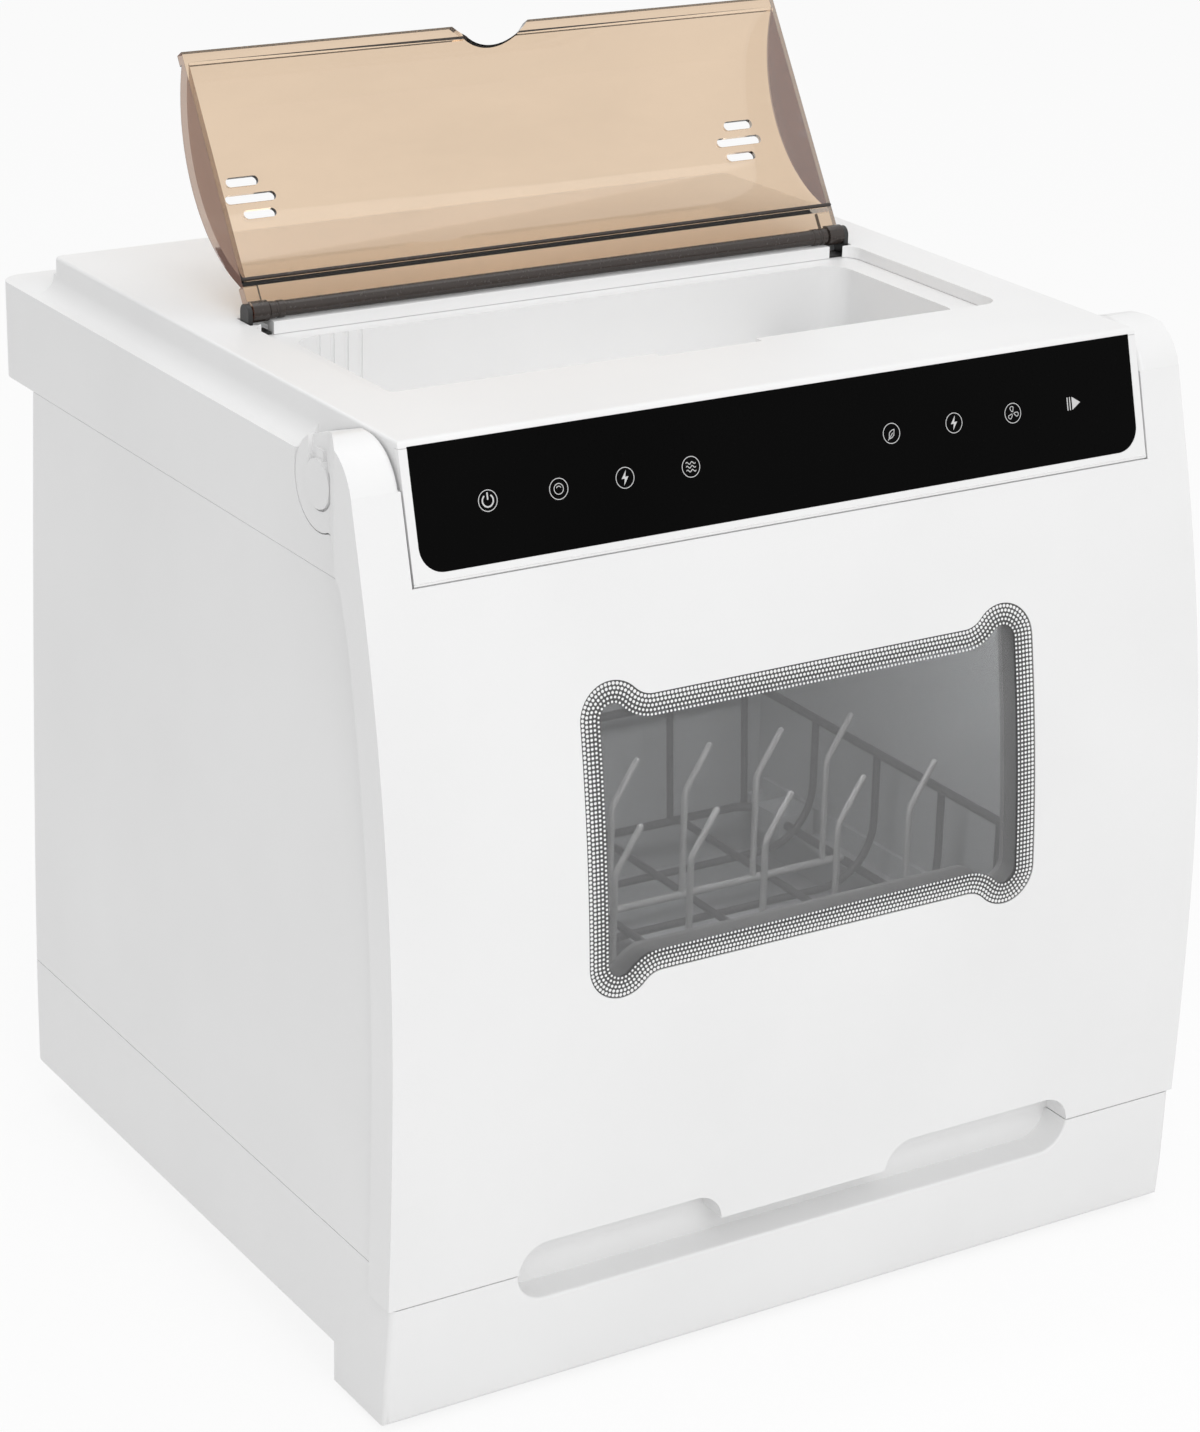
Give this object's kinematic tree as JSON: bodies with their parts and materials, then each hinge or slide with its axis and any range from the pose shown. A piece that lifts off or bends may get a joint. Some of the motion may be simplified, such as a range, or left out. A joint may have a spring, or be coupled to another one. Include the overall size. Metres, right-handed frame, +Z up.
{
  "type": "countertop dishwasher",
  "caption": "Compact free-standing dishwasher with a flip-up bowed door and window, a touch panel, a domed fill lid on the deck and a wire dish rack.",
  "frame": {"origin": "middle of the footprint, on the counter that the feet stand on", "axes": "+X to the user's right when facing the door, +Y from the door to the back, +Z up"},
  "size_m": [0.42, 0.409, 0.5307],
  "materials": {
    "white_shell": "satin moulded plastic",
    "white_inner": "moulded plastic",
    "black_panel": "glossy touch panel",
    "smoked_lid": "smoked transparent plastic",
    "smoked_window": "grey smoked pane",
    "border_print": "dotted print",
    "dark_plastic": "moulded plastic",
    "grey_plastic": "moulded plastic",
    "light_plastic": "moulded plastic",
    "rubber": "soft rubber",
    "grey_rubber": "soft rubber",
    "steel": "stainless steel",
    "coated_wire": "coated steel wire",
    "tank_plastic": "translucent plastic",
    "float_foam": "float",
    "brass": "turned",
    "board": "circuit board",
    "lamp_lens": "frosted lens"
  },
  "bodies": {
    "machine": {"base_tray": "white_shell", "lower_casing": "white_shell", "rear_panel": "white_shell", "top_housing": "white_shell", "control_fascia": "white_shell", "touch_panel": "black_panel", "control_board": "board", "fill_hopper": "white_shell", "hopper_strainer": "light_plastic", "lid_pins": "dark_plastic", "front_frame": "white_inner", "door_seal": "grey_rubber", "pivot_pins": "steel", "catch_magnets": "dark_plastic", "tub": "light_plastic", "tub_brackets": "grey_plastic", "sump": "grey_plastic", "filter_mesh": "steel", "heater": "steel", "spray_post": "grey_plastic", "upper_spray_post": "grey_plastic", "rack_runners": "light_plastic", "water_tank": "tank_plastic", "wash_pump": "dark_plastic", "drain_pump": "dark_plastic", "pump_hose": "rubber", "drain_hose": "rubber", "tank_hose": "rubber", "drain_outlet": "grey_plastic", "inlet_fitting": "grey_plastic", "fan_housing": "dark_plastic", "chamber_lamp": "lamp_lens", "power_inlet": "rubber", "power_board": "board", "rubber_feet": "rubber", "foot_screws": "steel", "casing_screws": "steel"},
    "door": {"door_shell": "white_shell", "door_liner": "white_inner", "door_window": "smoked_window", "window_border": "border_print", "window_gasket": "grey_rubber", "pivot_caps": "white_shell", "catch_plates": "steel", "liner_screws": "steel"},
    "rack": {"rack_frame": "coated_wire", "rack_rail": "coated_wire", "rack_sides": "coated_wire", "rack_tines": "coated_wire", "rack_shoes": "light_plastic"},
    "lid": {"lid_shell": "smoked_lid"},
    "filter": {"filter_cup": "grey_plastic"},
    "lower_arm": {"lower_spray_arm": "light_plastic"},
    "upper_arm": {"upper_spray_arm": "light_plastic"},
    "float": {"tank_float": "float_foam"},
    "wash_rotor": {"wash_impeller": "brass"},
    "drain_rotor": {"drain_impeller": "brass"},
    "fan_rotor": {"fan_wheel": "dark_plastic"}
  },
  "joints": [
    {"name": "door_hinge", "type": "hinge", "parent": "machine", "child": "door", "pos_m": [0, -0.1195, 0.397], "axis": [-1, 0, 0], "range_deg": [0, 75]},
    {"name": "rack_slide", "type": "slide", "parent": "machine", "child": "rack", "axis": [0, -1, 0], "range_m": [0, 0.15]},
    {"name": "lid_hinge", "type": "hinge", "parent": "machine", "child": "lid", "pos_m": [0, 0.023, 0.4285], "axis": [1, 0, 0], "range_deg": [0, 126]},
    {"name": "filter_turn", "type": "hinge", "parent": "machine", "child": "filter", "pos_m": [0.084, -0.0425, 0.08], "axis": [0, 0, 1], "range_deg": [0, 45]},
    {"name": "lower_arm_spin", "type": "hinge", "parent": "machine", "child": "lower_arm", "pos_m": [0, -0.0425, 0.11], "axis": [0, 0, 1], "continuous": true},
    {"name": "upper_arm_spin", "type": "hinge", "parent": "machine", "child": "upper_arm", "pos_m": [0, -0.0425, 0.323], "axis": [0, 0, 1], "continuous": true},
    {"name": "float_rise", "type": "slide", "parent": "machine", "child": "float", "axis": [0, 0, 1], "range_m": [0, 0.06]},
    {"name": "wash_pump_spin", "type": "hinge", "parent": "machine", "child": "wash_rotor", "pos_m": [0, -0.0425, 0.055], "axis": [1, 0, 0], "continuous": true},
    {"name": "drain_pump_spin", "type": "hinge", "parent": "machine", "child": "drain_rotor", "pos_m": [0.155, -0.0425, 0.047], "axis": [0, 1, 0], "continuous": true},
    {"name": "fan_spin", "type": "hinge", "parent": "machine", "child": "fan_rotor", "pos_m": [-0.096, 0.1415, 0.292], "axis": [0, 1, 0], "continuous": true}
  ],
  "couplings": [
    {"joint": "rack_slide", "follows": "door_hinge", "m_per_rad": 0.1146}
  ]
}
